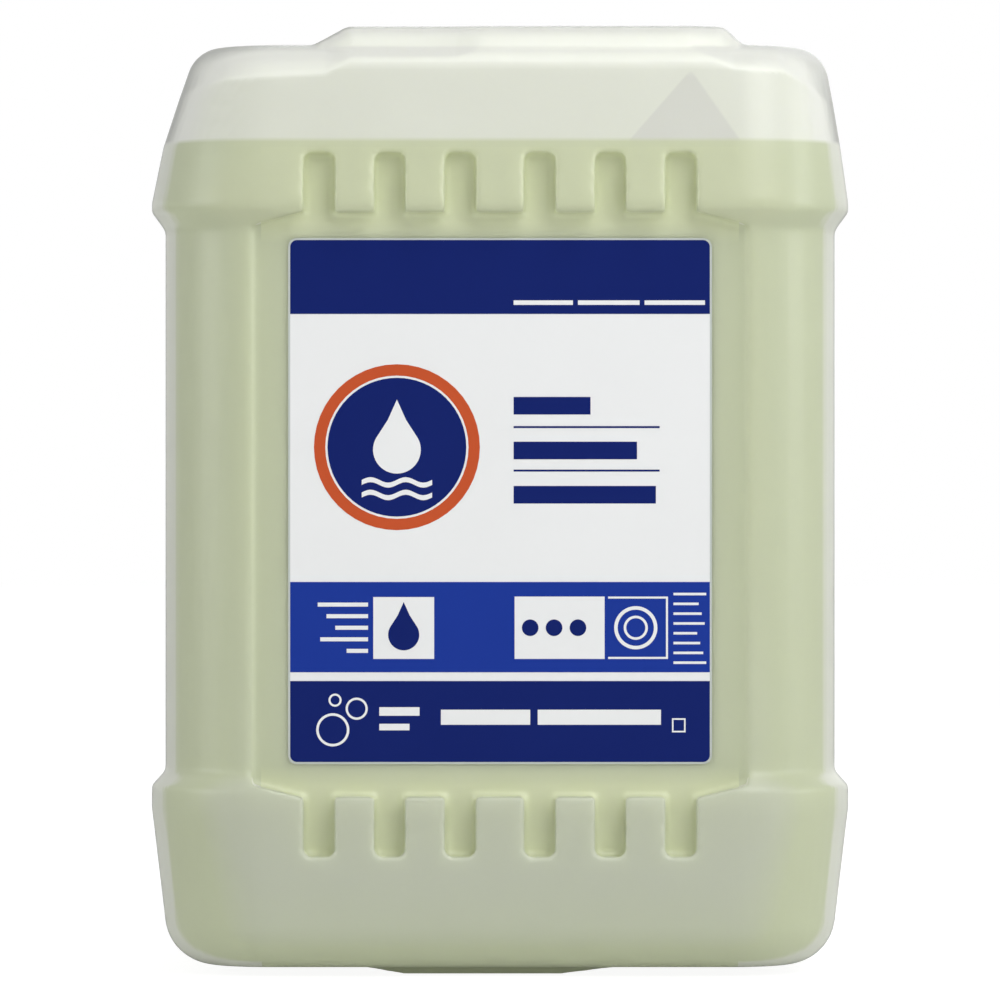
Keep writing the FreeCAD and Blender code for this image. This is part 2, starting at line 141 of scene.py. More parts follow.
def blend(tree: bpy.types.NodeTree, share: bpy.types.NodeSocket, one: object,
          two: object) -> bpy.types.NodeSocket:
    """Adds a node that mixes two colours.

    Args:
        tree: The tree that gets the node.
        share: Share of the second colour.
        one: The first colour, plain or a socket.
        two: The second colour, plain or a socket.

    Returns:
        The socket of the mixed colour.
    """
    mix = tree.nodes.new("ShaderNodeMix")
    mix.data_type = "RGBA"
    feed(mix, 0, share)
    for spot, colour in ((6, one), (7, two)):
        feed(mix, spot, (*colour, 1.0) if isinstance(colour, tuple) else colour)
    return mix.outputs[2]


def place_axes(tree: bpy.types.NodeTree) -> bpy.types.Node:
    """Adds the object's own coordinates to a tree.

    Args:
        tree: The tree that gets the nodes.

    Returns:
        The node with X, Y and Z out.
    """
    place = tree.nodes.new("ShaderNodeTexCoord")
    axes = tree.nodes.new("ShaderNodeSeparateXYZ")
    feed(axes, "Vector", place.outputs["Object"])
    return axes


def group(name: str, taken: tuple[str, ...]) -> tuple[bpy.types.NodeTree, bpy.types.Node]:
    """Starts a node group.

    Args:
        name: The group's name.
        taken: Names of its inputs, each a number.

    Returns:
        The group and its input node.
    """
    tree = bpy.data.node_groups.new(name, "ShaderNodeTree")
    for label in taken:
        tree.interface.new_socket(name=label, in_out="INPUT", socket_type="NodeSocketFloat")
    return tree, tree.nodes.new("NodeGroupInput")


def give(tree: bpy.types.NodeTree, results: dict[str, bpy.types.NodeSocket]) -> None:
    """Declares a group's outputs and links them.

    Args:
        tree: The node group.
        results: Output names and the number that each gives.
    """
    for label in results:
        tree.interface.new_socket(name=label, in_out="OUTPUT", socket_type="NodeSocketFloat")
    given = tree.nodes.new("NodeGroupOutput")
    for label, result in results.items():
        feed(given, label, result)


def use_group(tree: bpy.types.NodeTree, used: bpy.types.NodeTree,
              values: dict[str, float]) -> bpy.types.Node:
    """Adds a group to a material's tree.

    Args:
        tree: The material's tree.
        used: The node group.
        values: Its inputs by name.

    Returns:
        The group's node.
    """
    node = tree.nodes.new("ShaderNodeGroup")
    node.node_tree = used
    for name, value in values.items():
        feed(node, name, value)
    return node


CORNER_SOFT = 6.0 * MM
RING_SOFT = 8.0 * MM


def liquid_zones() -> bpy.types.NodeTree:
    """Builds the group that tells a wall with liquid behind it from the dry one above.

    Returns:
        The group, with Fill Level, Line Width, Deep Side, Near Side, Mid Side, Flat End, Middle,
        Notch Start and Notch End in, and Wet, 1 below the fill level, Near, 1 where the wall
        stands out furthest, Outer, 1 away from the middle of the front and back, Corner, 1 on the
        rounded corners, Ring, 1 along the two rows of notches, and Low, 1 near the base, out.
    """
    tree = bpy.data.node_groups.get("liquid_zones")
    if tree:
        return tree
    tree, taken = group("liquid_zones", (
        "Fill Level", "Line Width", "Deep Side", "Near Side", "Mid Side", "Flat End", "Middle",
        "Notch Start", "Notch End"))
    side = taken.outputs
    axes = place_axes(tree)
    height = axes.outputs["Z"]
    depth = calc(tree, "ABSOLUTE", axes.outputs["Y"])
    across = calc(tree, "ABSOLUTE", axes.outputs["X"])
    line_top = calc(tree, "ADD", side["Fill Level"], side["Line Width"])
    wet = ramp(tree, height, side["Fill Level"], line_top, 1.0, 0.0)
    near = ramp(tree, depth, side["Deep Side"], side["Near Side"])
    beside = calc(tree, "GREATER_THAN", across, side["Mid Side"])
    outer = calc(tree, "MAXIMUM", beside, calc(tree, "SUBTRACT", 1.0, wet))
    corner_full = calc(tree, "ADD", side["Flat End"], CORNER_SOFT)
    corner = ramp(tree, depth, side["Flat End"], corner_full, smooth=True)
    far = calc(tree, "ABSOLUTE", calc(tree, "SUBTRACT", height, side["Middle"]))
    ring_full = calc(tree, "ADD", side["Notch Start"], RING_SOFT)
    rows = calc(tree, "MULTIPLY", calc(tree, "LESS_THAN", far, side["Notch End"]),
                calc(tree, "SUBTRACT", 1.0, beside))
    notched = calc(tree, "MULTIPLY", rows, ramp(tree, far, side["Notch Start"], ring_full))
    low = ramp(tree, height, 0.0, side["Middle"], 1.0, 0.0)
    give(tree, {"Wet": wet, "Near": near, "Outer": outer, "Corner": corner, "Ring": notched,
                "Low": low})
    return tree


@dataclass(frozen=True)
class ShadeEdge:
    """One edge of the shade in the head: a slanted line and how softly it ends."""

    foot: tuple[float, float]
    softness: float


SHADE_APEX = (76.1, 361.6)
SHADE_EDGES = (ShadeEdge((55.0, 337.2), 1.0), ShadeEdge((92.8, 337.2), 1.8),
               ShadeEdge((90.0, 361.6), 4.2))
SHADE_LEAD = 0.8


def corner_shade() -> bpy.types.NodeTree:
    """Builds the group that masks the shade of the jug's cut-away rear corner behind its front.

    Returns:
        The group, with Shade out.
    """
    tree = bpy.data.node_groups.get("corner_shade")
    if tree:
        return tree
    tree, _ = group("corner_shade", ())
    axes = place_axes(tree)
    shade = calc(tree, "LESS_THAN", axes.outputs["Y"], 0.0)
    for edge in SHADE_EDGES:
        slope = (SHADE_APEX[1] - edge.foot[1]) / (SHADE_APEX[0] - edge.foot[0])
        line = calc(tree, "MULTIPLY_ADD", axes.outputs["X"], slope,
                    (edge.foot[1] - slope * edge.foot[0]) * MM)
        under = calc(tree, "SUBTRACT", line, axes.outputs["Z"])
        soft = ramp(tree, under, -SHADE_LEAD * MM, edge.softness * MM, smooth=True)
        shade = calc(tree, "MULTIPLY", shade, soft)
    give(tree, {"Shade": shade})
    return tree


def moulding_marks() -> bpy.types.NodeTree:
    """Builds the group of slow waves and fine grain that moulded plastic and coated paper show.

    Returns:
        The group, with Wave Size, Grain Size and Grain in, and Height and Cloud out.
    """
    tree = bpy.data.node_groups.get("moulding_marks")
    if tree:
        return tree
    tree, taken = group("moulding_marks", ("Wave Size", "Grain Size", "Grain"))
    place = tree.nodes.new("ShaderNodeTexCoord")
    noises = []
    for size, detail in (("Wave Size", 0.0), ("Grain Size", 1.0)):
        noise = tree.nodes.new("ShaderNodeTexNoise")
        feed(noise, "Vector", place.outputs["Object"])
        feed(noise, "Scale", taken.outputs[size])
        feed(noise, "Detail", detail)
        noises.append(noise.outputs["Fac"])
    wave, grain = noises
    faint = calc(tree, "MULTIPLY", grain, taken.outputs["Grain"])
    give(tree, {"Height": calc(tree, "ADD", wave, faint), "Cloud": wave})
    return tree


@dataclass(frozen=True)
class Surface:
    """Opaque finish with moulding marks: waves and grain in a bump, a slight cloud of tone."""

    name: str
    colour: Colour
    cloud_colour: Colour
    roughness: float
    wave_size: float = 30.0
    grain_size: float = 900.0
    grain: float = 0.2
    bump: float = 0.1
    bump_height: float = 0.0002
    specular: float = 0.5
    scatter: float = 0.0
    scatter_reach: float = 9.0 * MM
    scatter_share: Colour = (1.0, 1.0, 0.8)

    def make(self) -> bpy.types.Material:
        """Builds the material, or takes the one that exists.

        Returns:
            The material.
        """
        made = bpy.data.materials.get(self.name)
        if made:
            return made
        made = bpy.data.materials.new(self.name)
        made.use_nodes = True
        made.diffuse_color = (*self.colour, 1.0)
        tree = made.node_tree
        shader = tree.nodes["Principled BSDF"]
        marks = use_group(tree, moulding_marks(), {
            "Wave Size": self.wave_size, "Grain Size": self.grain_size, "Grain": self.grain})
        bump = tree.nodes.new("ShaderNodeBump")
        for name, value in (("Strength", self.bump), ("Distance", self.bump_height),
                            ("Height", marks.outputs["Height"])):
            feed(bump, name, value)
        tone = blend(tree, marks.outputs["Cloud"], self.colour, self.cloud_colour)
        shader.subsurface_method = "BURLEY"
        for name, value in (("Base Color", tone), ("Normal", bump.outputs["Normal"]),
                            ("Roughness", self.roughness), ("Specular IOR Level", self.specular),
                            ("Subsurface Weight", self.scatter),
                            ("Subsurface Radius", self.scatter_share),
                            ("Subsurface Scale", self.scatter_reach)):
            feed(shader, name, value)
        return made


@dataclass(frozen=True)
class SeeThrough(Surface):
    """Milky or clear finish: the same marks, with an alpha that rises where the wall turns away."""

    alpha_facing: float = 0.5
    alpha_edge: float = 0.9
    edge_power: float = 0.3
    edge_colour: Colour = (0.5, 0.5, 0.45)

    def make(self) -> bpy.types.Material:
        """Builds the material, or takes the one that exists.

        Returns:
            The material.
        """
        exists = self.name in bpy.data.materials
        made = super().make()
        if exists:
            return made
        tree = made.node_tree
        shader = tree.nodes["Principled BSDF"]
        tone = shader.inputs["Base Color"].links[0].from_socket
        turn = tree.nodes.new("ShaderNodeLayerWeight")
        feed(turn, "Blend", self.edge_power)
        facing = turn.outputs["Facing"]
        rim = blend(tree, facing, tone, self.edge_colour)
        rim.node.name = "rim"
        feed(shader, "Base Color", rim)
        feed(shader, "Alpha", ramp(tree, facing, 0.0, 1.0, self.alpha_facing, self.alpha_edge))
        return made


@dataclass(frozen=True)
class FilledWall(SeeThrough):
    """Milky wall of a filled jug: tinted below the fill level, deepest where it lies furthest in.

    Its turned-away sides stay pale, as a thick wall does past the edge of the liquid, and end in a
    thin grey outline. Its dry slopes get a painted highlight, lighter than its upright faces.
    """

    near_colour: Colour = (0.525, 0.562, 0.375)
    deep_colour: Colour = (0.498, 0.54, 0.365)
    # painted shade: the wall turns darker and greyer towards the base, as if lit from above
    painted_base_shade: Colour = (0.49, 0.518, 0.43)
    # the notches' tint: the liquid's colour behind the wall, lightened with painted light that fills the
    # shade in the notches
    notch_tint_and_painted_light: Colour = (0.613, 0.655, 0.425)
    rind_colour: Colour = (0.615, 0.633, 0.55)
    shade_colour: Colour = (0.635, 0.645, 0.583)
    brow_colour: Colour = (0.76, 0.77, 0.715)
    # painted highlight: dry faces that turn upward are made lighter, as if lit from above
    painted_highlight_colour: Colour = (0.85, 0.868, 0.785)
    wet_alpha: float = 0.94
    fill_level: float = 332.4 * MM
    line_width: float = 1.8 * MM
    deep_side: float = 111.5 * MM
    near_side: float = 117.5 * MM
    mid_side: float = 95.0 * MM
    flat_end: float = 66.0 * MM
    middle: float = 188.2 * MM
    notch_start: float = 104.0 * MM
    notch_end: float = 142.0 * MM
    flat_rind: float = 0.3
    rind_turn: Limits = (0.50, 0.62)
    brow_turn: Limits = (0.22, 0.50)
    # how far up a dry face turns before it takes the painted highlight
    painted_highlight_slope: Limits = (0.25, 0.45)
    outline_turn: Limits = (0.80, 0.98)
    top_outline_turn: Limits = (0.52, 0.87)

    def make(self) -> bpy.types.Material:
        """Builds the material, or takes the one that exists.

        Returns:
            The material.
        """
        exists = self.name in bpy.data.materials
        made = super().make()
        if exists:
            return made
        tree = made.node_tree
        rim = tree.nodes["rim"]
        zones = use_group(tree, liquid_zones(), {
            "Fill Level": self.fill_level, "Line Width": self.line_width,
            "Deep Side": self.deep_side, "Near Side": self.near_side, "Mid Side": self.mid_side,
            "Flat End": self.flat_end, "Middle": self.middle, "Notch Start": self.notch_start,
            "Notch End": self.notch_end}).outputs
        turn = tree.nodes.new("ShaderNodeLayerWeight")
        feed(turn, "Blend", 0.5)
        facing = turn.outputs["Facing"]
        wet = self.wet_tone(tree, zones, facing)
        dry = self.dry_tone(tree, rim.inputs[6].links[0].from_socket, facing)
        feed(rim, 6, blend(tree, zones["Wet"], dry, wet))
        ends = tree.nodes.new("ShaderNodeMix")
        feed(ends, 0, zones["Wet"])
        feed(ends, 2, ramp(tree, facing, *self.top_outline_turn, smooth=True))
        feed(ends, 3, ramp(tree, facing, *self.outline_turn, smooth=True))
        feed(rim, 0, calc(tree, "MULTIPLY", ends.outputs[0], zones["Outer"]))
        shader = tree.nodes["Principled BSDF"]
        alpha = tree.nodes.new("ShaderNodeMix")
        feed(alpha, 0, zones["Wet"])
        feed(alpha, 2, shader.inputs["Alpha"].links[0].from_socket)
        feed(alpha, 3, self.wet_alpha)
        feed(shader, "Alpha", alpha.outputs[0])
        return made

    def wet_tone(self, tree: bpy.types.NodeTree, zones: bpy.types.NodeOutputs,
                 facing: bpy.types.NodeSocket) -> bpy.types.NodeSocket:
        """Mixes the wall's tone where liquid lies behind it.

        Args:
            tree: The material's tree.
            zones: Outputs of the zones' group.
            facing: How far the wall turns from the eye.

        Returns:
            The socket of the tone.
        """
        # painted light: the notch rows get a lighter tint that fills the shade in the notches
        deep = blend(tree, zones["Ring"], self.deep_colour, self.notch_tint_and_painted_light)
        # painted shade: darker and greyer towards the base
        near = blend(tree, zones["Low"], self.near_colour, self.painted_base_shade)
        tone = blend(tree, zones["Near"], deep, near)
        paler = ramp(tree, zones["Corner"], 0.0, 1.0, self.flat_rind, 1.0)
        beyond = calc(tree, "MULTIPLY", paler, zones["Outer"])
        turned = ramp(tree, facing, *self.rind_turn, smooth=True)
        return blend(tree, calc(tree, "MULTIPLY", turned, beyond), tone, self.rind_colour)

    def dry_tone(self, tree: bpy.types.NodeTree, plain: bpy.types.NodeSocket,
                 facing: bpy.types.NodeSocket) -> bpy.types.NodeSocket:
        """Mixes the wall's tone above the liquid.

        Args:
            tree: The material's tree.
            plain: The wall's own tone.
            facing: How far the wall turns from the eye.

        Returns:
            The socket of the tone.
        """
        corner = use_group(tree, corner_shade(), {})
        tone = blend(tree, corner.outputs["Shade"], plain, self.shade_colour)
        shape = tree.nodes.new("ShaderNodeNewGeometry")
        ways = tree.nodes.new("ShaderNodeSeparateXYZ")
        feed(ways, "Vector", shape.outputs["Normal"])
        # painted highlight: dry faces that turn upward get a lighter colour
        slope = ramp(tree, ways.outputs["Z"], *self.painted_highlight_slope)
        tone = blend(tree, slope, tone, self.painted_highlight_colour)
        turned = ramp(tree, facing, *self.brow_turn, smooth=True)
        return blend(tree, turned, tone, self.brow_colour)


HDPE = FilledWall("natural_hdpe", (0.685, 0.705, 0.61), (0.715, 0.735, 0.645), 0.34,
                  wave_size=14.0, grain_size=700.0, grain=0.06, bump=0.2, bump_height=0.0006,
                  specular=0.45, scatter=0.85, alpha_facing=0.87, alpha_edge=0.97, edge_power=0.35,
                  edge_colour=(0.30, 0.31, 0.28))
BLEACH = SeeThrough("pale_bleach", (0.40, 0.46, 0.17), (0.44, 0.50, 0.20), 0.25, wave_size=9.0,
                    grain=0.0, bump=0.0, alpha_facing=0.97, alpha_edge=0.35, edge_power=0.45,
                    edge_colour=(0.60, 0.63, 0.42))
PAPER = Surface("coated_label", (0.78, 0.79, 0.79), (0.80, 0.81, 0.81), 0.5, bump=0.05,
                specular=0.2)
NAVY = Surface("navy_ink", (0.0025, 0.0115, 0.121), (0.0033, 0.0130, 0.128), 0.5, bump=0.05,
               specular=0.1)
BLUE = Surface("blue_ink", (0.0080, 0.033, 0.273), (0.0095, 0.036, 0.288), 0.5, bump=0.05,
               specular=0.1)
FILM = Surface("clear_film_edge", (0.49, 0.53, 0.50), (0.51, 0.55, 0.52), 0.45, bump=0.05,
               specular=0.3)
ORANGE = Surface("orange_ink", (0.50, 0.075, 0.02), (0.53, 0.083, 0.023), 0.5, bump=0.05,
                 specular=0.15)
CAP_WHITE = Surface("white_polypropylene", (0.78, 0.79, 0.77), (0.82, 0.83, 0.81), 0.38,
                    grain_size=600.0, grain=0.3, bump=0.2)
LINER_FOAM = Surface("liner_foam", (0.86, 0.86, 0.83), (0.9, 0.9, 0.88), 0.8, grain_size=1500.0,
                     grain=0.8, bump=0.4)


def dress(obj: bpy.types.Object, finish: Surface) -> None:
    """Gives every face of an object one finish.

    Args:
        obj: Mesh object.
        finish: The finish.
    """
    made = finish.make()
    log.info("dressed %s in %s", obj.name, finish.name)
    if not obj.material_slots:
        obj.data.materials.append(made)
    for spot in obj.material_slots:
        spot.material = made


def add_mesh(name: str, mesh: bmesh.types.BMesh, smooth_deg: float = 30.0) -> bpy.types.Object:
    """Turns a bmesh into an object of the scene, smooth below an angle.

    Args:
        name: Object name.
        mesh: The bmesh, freed here.
        smooth_deg: Edges bent by less than this are shaded smooth.

    Returns:
        The new object.
    """
    data = bpy.data.meshes.new(name)
    bmesh.ops.recalc_face_normals(mesh, faces=mesh.faces)
    mesh.to_mesh(data)
    mesh.free()
    data.polygons.foreach_set("use_smooth", [True] * len(data.polygons))
    data.set_sharp_from_angle(angle=math.radians(smooth_deg))
    obj = bpy.data.objects.new(name, data)
    bpy.context.scene.collection.objects.link(obj)
    log.info("made %s with %d faces", name, len(data.polygons))
    return obj


@dataclass
class Jug:
    """Blow-moulded jug and the bleach in it.

    The brow is a line across the front, X and Z in millimetres, that follows the shoulders and the
    raised middle. Above it the front leans back.
    """

    fill_level: float = 332.4 * MM
    neck_axis: tuple[float, float] = (-93.0 * MM, 0.0)
    neck_bore: float = 22.0 * MM
    neck_radius: float = 25.0 * MM
    neck_top: float = 356.0 * MM
    bore_kept: float = 320.0 * MM
    rim_slack: float = 0.2 * MM
    bore_slack: float = 0.5 * MM
    weld: float = 0.01 * MM
    plug_margin: float = 1.0 * MM
    plug_top: float = 346.0 * MM
    grid_step: float = 1.25 * MM
    rim_passes: int = 1
    face_limit: int = 180000
    smooth_deg: float = 80.0
    brow: tuple[tuple[float, float], ...] = (
        (-141.0, 348.0), (-121.0, 355.0), (-109.0, 358.2), (-69.4, 360.2), (-59.5, 366.1),
        (-17.8, 366.5), (-7.9, 370.9), (75.3, 371.7), (84.0, 366.9), (93.2, 362.2),
        (113.0, 361.0), (123.0, 356.0), (131.0, 350.0), (141.0, 346.0))
    brow_lean: float = 0.62
    brow_from: float = 50.0 * MM
    brow_full: float = 95.0 * MM
    brow_round: float = 0.8 * MM
    thread_pitch: float = 6.0 * MM
    thread_turns: float = 1.75
    thread_height: float = 2.0 * MM
    thread_proud: float = 1.7 * MM
    thread_start: float = 341.0 * MM
    thread_steps: int = 72
    thread_sunk: float = 0.2 * MM
    thread_least: float = 0.02 * MM
    thread_tip: float = 0.22
    thread_run_out: float = 12.0
    thread_smooth_deg: float = 40.0

    def build(self) -> None:
        """Builds and dresses the jug's pieces."""
        self.skin()
        dress(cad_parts["bleach"], BLEACH)
        self.thread()

    def skin(self) -> bpy.types.Object:
        """Makes the visible wall from the outside of the jug and the upper part of its bore.

        Returns:
            The wall.
        """
        mesh = bmesh.new()
        mesh.from_mesh(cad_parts["bottle"].data)
        bmesh.ops.remove_doubles(mesh, verts=mesh.verts, dist=self.weld)
        inner = self.inner_faces(mesh)
        bmesh.ops.delete(mesh, geom=inner, context="FACES")
        open_edges = [edge for edge in mesh.edges if edge.is_boundary]
        bmesh.ops.holes_fill(mesh, edges=open_edges)
        obj = add_mesh("jug_wall", self.soften(mesh), self.smooth_deg)
        dress(obj, HDPE)
        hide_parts("bottle")
        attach(obj, Body.JUG.value)
        return obj

    def soften(self, mesh: bmesh.types.BMesh) -> bmesh.types.BMesh:
        """Rounds the rims as blow moulding does: a fine grid, a light smoothing, fewer faces.

        Args:
            mesh: Closed skin of the jug, freed here.

        Returns:
            The softened skin, open below the bore.
        """
        bmesh.ops.triangulate(mesh, faces=mesh.faces)
        obj = self.scratch("skin_grid", mesh)
        grid = obj.modifiers.new("grid", "REMESH")
        grid.mode = "VOXEL"
        grid.voxel_size = self.grid_step
        soft = obj.modifiers.new("soft", "SMOOTH")
        soft.factor = 0.5
        soft.iterations = self.rim_passes
        made = self.taken_from(obj)
        for vert in made.verts:
            vert.co.y += self.lean(vert.co)
        plug = [face for face in made.faces
                if self.from_axis(face.calc_center_median()) < self.neck_bore - self.plug_margin
                and self.bore_kept < face.calc_center_median().z < self.plug_top]
        bmesh.ops.delete(made, geom=plug, context="FACES")
        share = self.face_limit / (2 * len(made.faces))
        obj = self.scratch("skin_flats", made)
        fewer = obj.modifiers.new("fewer", "DECIMATE")
        fewer.ratio = min(1.0, share)
        return self.taken_from(obj)

    def scratch(self, name: str, mesh: bmesh.types.BMesh) -> bpy.types.Object:
        """Puts a mesh in the scene for a modifier to work on.

        Args:
            name: Object name.
            mesh: The mesh, freed here.

        Returns:
            The object.
        """
        data = bpy.data.meshes.new(name)
        mesh.to_mesh(data)
        mesh.free()
        obj = bpy.data.objects.new(name, data)
        bpy.context.scene.collection.objects.link(obj)
        return obj

    def taken_from(self, obj: bpy.types.Object) -> bmesh.types.BMesh:
        """Takes an object's mesh with its modifiers applied, and removes the object.

        Args:
            obj: The object.

        Returns:
            The mesh.
        """
        shape = bpy.data.meshes.new_from_object(obj.evaluated_get(
            bpy.context.evaluated_depsgraph_get()))
        bpy.data.objects.remove(obj)
        made = bmesh.new()
        made.from_mesh(shape)
        bpy.data.meshes.remove(shape)
        return made

    def lean(self, point: Vector) -> float:
        """Works out how far a point of the skin leans back.

        Args:
            point: The point in metres.

        Returns:
            Its move along Y: 0 below the brow, and behind the front.
        """
        share = (-point.y - self.brow_from) / (self.brow_full - self.brow_from)
        if share <= 0.0 or point.z < self.fill_level:
            return 0.0
        share = min(1.0, share)
        across = point.x / MM
        line = self.brow[-1][1]
        for (x0, z0), (x1, z1) in zip(self.brow, self.brow[1:]):
            if across <= x1:
                line = z0 + (z1 - z0) * max(0.0, across - x0) / (x1 - x0)
                break
        above = point.z - line * MM
        above = 0.5 * (above + math.hypot(above, self.brow_round))
        return self.brow_lean * above * share * share * (3.0 - 2.0 * share)

    def from_axis(self, point: Vector) -> float:
        """Measures how far a point lies from the neck's axis.

        Args:
            point: The point in metres.

        Returns:
            The distance in metres.
        """
        return math.hypot(point.x - self.neck_axis[0], point.y - self.neck_axis[1])

    def inner_faces(self, mesh: bmesh.types.BMesh) -> list[bmesh.types.BMFace]:
        """Finds the faces of the cavity, apart from the upper bore that shows with the cap off.

        Args:
            mesh: The whole jug.

        Returns:
            The faces to delete.
        """
        rim = set()
        for face in mesh.faces:
            middle = face.calc_center_median()
            level = abs(middle.z - self.neck_top) < self.rim_slack
            if level and self.from_axis(middle) < self.neck_radius:
                rim.add(face)
        bore = [face for face in mesh.faces if face not in rim
                and self.from_axis(face.calc_center_median()) < self.neck_bore + self.bore_slack
                and face.calc_center_median().z > self.bore_kept]
        seen = set(bore)
        open_faces = list(bore)
        while open_faces:
            face = open_faces.pop()
            for edge in face.edges:
                for other in edge.link_faces:
                    if other not in seen and other not in rim:
                        seen.add(other)
                        open_faces.append(other)
        kept = set(bore)
        return [face for face in seen if face not in kept]

    def thread(self) -> bpy.types.Object:
        """Makes the thread on the neck, a ridge that runs out to nothing at both ends.

        Returns:
            The thread.
        """
        mesh = bmesh.new()
        rows = []
        count = int(self.thread_turns * self.thread_steps)
        for step in range(count + 1):
            share = step / count
            angle = 2 * math.pi * self.thread_turns * share
            rise = self.thread_start + self.thread_pitch * self.thread_turns * share
            full = min(1.0, self.thread_run_out * share, self.thread_run_out * (1 - share))
            proud = self.thread_proud * full + self.thread_least
            row = []
            for out, up in ((-self.thread_sunk, -0.5), (proud, -self.thread_tip),
                            (proud, self.thread_tip), (-self.thread_sunk, 0.5)):
                radius = self.neck_radius + out
                row.append(mesh.verts.new((self.neck_axis[0] + radius * math.cos(angle),
                                           self.neck_axis[1] + radius * math.sin(angle),
                                           rise + up * self.thread_height)))
            rows.append(row)
        for one, two in zip(rows, rows[1:]):
            for side in range(4):
                mesh.faces.new((one[side], one[(side + 1) % 4], two[(side + 1) % 4], two[side]))
        mesh.faces.new(rows[0])
        mesh.faces.new(rows[-1])
        obj = add_mesh("neck_thread", mesh, self.thread_smooth_deg)
        dress(obj, HDPE)
        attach(obj, Body.JUG.value)
        return obj


RING_STEPS = 48
WAVE_STEPS = 24


def block(x0: float, x1: float, z0: float, z1: float) -> Outline:
    """Gives a rectangle's outline, in millimetres on the label.

    Args:
        x0: Left side.
        x1: Right side.
        z0: Lower side.
        z1: Upper side.

    Returns:
        Its four corners.
    """
    return [(x0, z0), (x1, z0), (x1, z1), (x0, z1)]


def arc(x: float, z: float, radius: float, start: float = 0.0, end: float = 360.0,
        steps: int = RING_STEPS) -> Outline:
    """Gives points along a circle.

    Args:
        x: Centre, across.
        z: Centre, up.
        radius: Radius in millimetres.
        start: First angle in degrees.
        end: Last angle in degrees.
        steps: Number of steps.

    Returns:
        The points, without a repeat of the first on a full circle.
    """
    full = abs(end - start) >= 360.0
    points = []
    for step in range(steps if full else steps + 1):
        angle = math.radians(start + (end - start) * step / steps)
        points.append((x + radius * math.cos(angle), z + radius * math.sin(angle)))
    return points


def ring(x: float, z: float, outer: float, inner: float, start: float = 0.0,
         end: float = 360.0) -> list[Outline]:
    """Gives a ring, or part of one, as short pieces side by side.

    Args:
        x: Centre, across.
        z: Centre, up.
        outer: Outer radius in millimetres.
        inner: Inner radius.
        start: First angle in degrees.
        end: Last angle in degrees.

    Returns:
        Outlines of the pieces.
    """
    pieces = []
    for step in range(RING_STEPS):
        low = start + (end - start) * step / RING_STEPS
        high = start + (end - start) * (step + 1) / RING_STEPS
        pieces.append(arc(x, z, outer, low, high, 1) + arc(x, z, inner, high, low, 1))
    return pieces


def drop(x: float, z: float, radius: float) -> Outline:
    """Gives the outline of a drop with its point up.

    Args:
        x: Centre of its round part, across.
        z: The same, up.
        radius: Radius of its round part in millimetres.

    Returns:
        The outline.
    """
    return arc(x, z, radius, 150.0, 390.0, 30) + [(x + 0.38 * radius, z + 1.25 * radius),
                                                 (x, z + 2.1 * radius),
                                                 (x - 0.38 * radius, z + 1.25 * radius)]


def wave(x: float, z: float, width: float, rise: float, half_length: float,
         thickness: float) -> list[Outline]:
    """Gives a wavy line as short pieces side by side.

    Args:
        x: Centre, across.
        z: Its lower edge where it crosses the middle.
        width: Length of the line in millimetres.
        rise: Height of its crests.
        half_length: Half a wave's length.
        thickness: Thickness of the line.

    Returns:
        Outlines of the pieces.
    """
    pieces = []
    for step in range(WAVE_STEPS):
        ends = [-width / 2 + (step + i) * width / WAVE_STEPS for i in (0, 1)]
        low = [(x + end, z + rise * math.sin(end * math.pi / half_length)) for end in ends]
        pieces.append(low + [(across, up + thickness) for across, up in reversed(low)])
    return pieces


